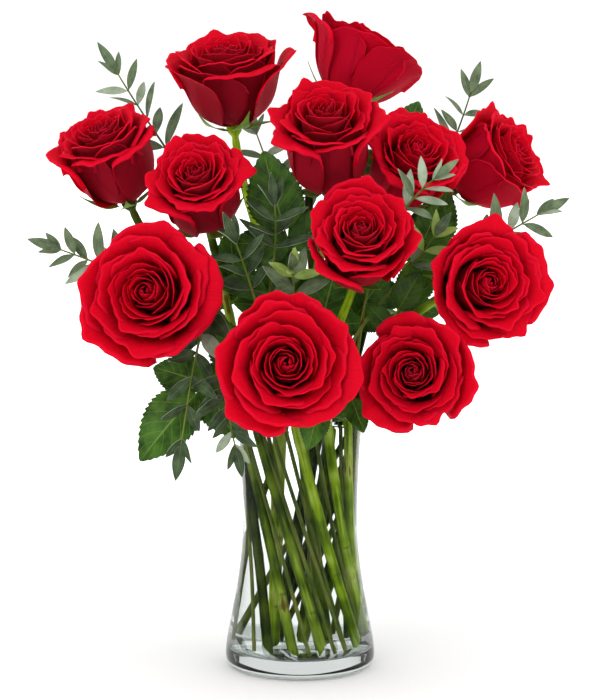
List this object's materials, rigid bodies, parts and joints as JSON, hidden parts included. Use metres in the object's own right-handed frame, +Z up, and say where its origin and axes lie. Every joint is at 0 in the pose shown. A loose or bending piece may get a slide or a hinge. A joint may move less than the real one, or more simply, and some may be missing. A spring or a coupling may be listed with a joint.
{
  "type": "roses in a glass vase",
  "caption": "Red roses with eucalyptus sprays, standing in a waisted clear glass vase of water.",
  "frame": {"origin": "middle of the vase's foot, on the surface it stands on", "axes": "+Z up the vase's axis; -Y is the front of the arrangement, which faces the viewer; +X to the viewer's right"},
  "size_m": [0.3933, 0.268, 0.4778],
  "materials": {
    "glass": "gloss",
    "water": "gloss",
    "petal": "satin",
    "rose_green": "satin",
    "eucalyptus": "matte"
  },
  "bodies": {
    "root": {"vase": "glass", "water": "water", "rose_01_bloom": "petal", "rose_02_bloom": "petal", "rose_03_bloom": "petal", "rose_04_bloom": "petal", "rose_05_bloom": "petal", "rose_06_bloom": "petal", "rose_07_bloom": "petal", "rose_08_bloom": "petal", "rose_09_bloom": "petal", "rose_10_bloom": "petal", "rose_11_bloom": "petal", "rose_12_bloom": "petal", "rose_01_stem": "rose_green", "rose_02_stem": "rose_green", "rose_03_stem": "rose_green", "rose_04_stem": "rose_green", "rose_05_stem": "rose_green", "rose_06_stem": "rose_green", "rose_07_stem": "rose_green", "rose_08_stem": "rose_green", "rose_09_stem": "rose_green", "rose_10_stem": "rose_green", "rose_11_stem": "rose_green", "rose_12_stem": "rose_green", "eucalyptus_01": "eucalyptus", "eucalyptus_02": "eucalyptus", "eucalyptus_03": "eucalyptus", "eucalyptus_04": "eucalyptus", "eucalyptus_05": "eucalyptus", "eucalyptus_06": "eucalyptus", "eucalyptus_07": "eucalyptus", "eucalyptus_08": "eucalyptus", "eucalyptus_09": "eucalyptus", "eucalyptus_10": "eucalyptus", "eucalyptus_11": "eucalyptus", "eucalyptus_12": "eucalyptus"}
  },
  "joints": []
}
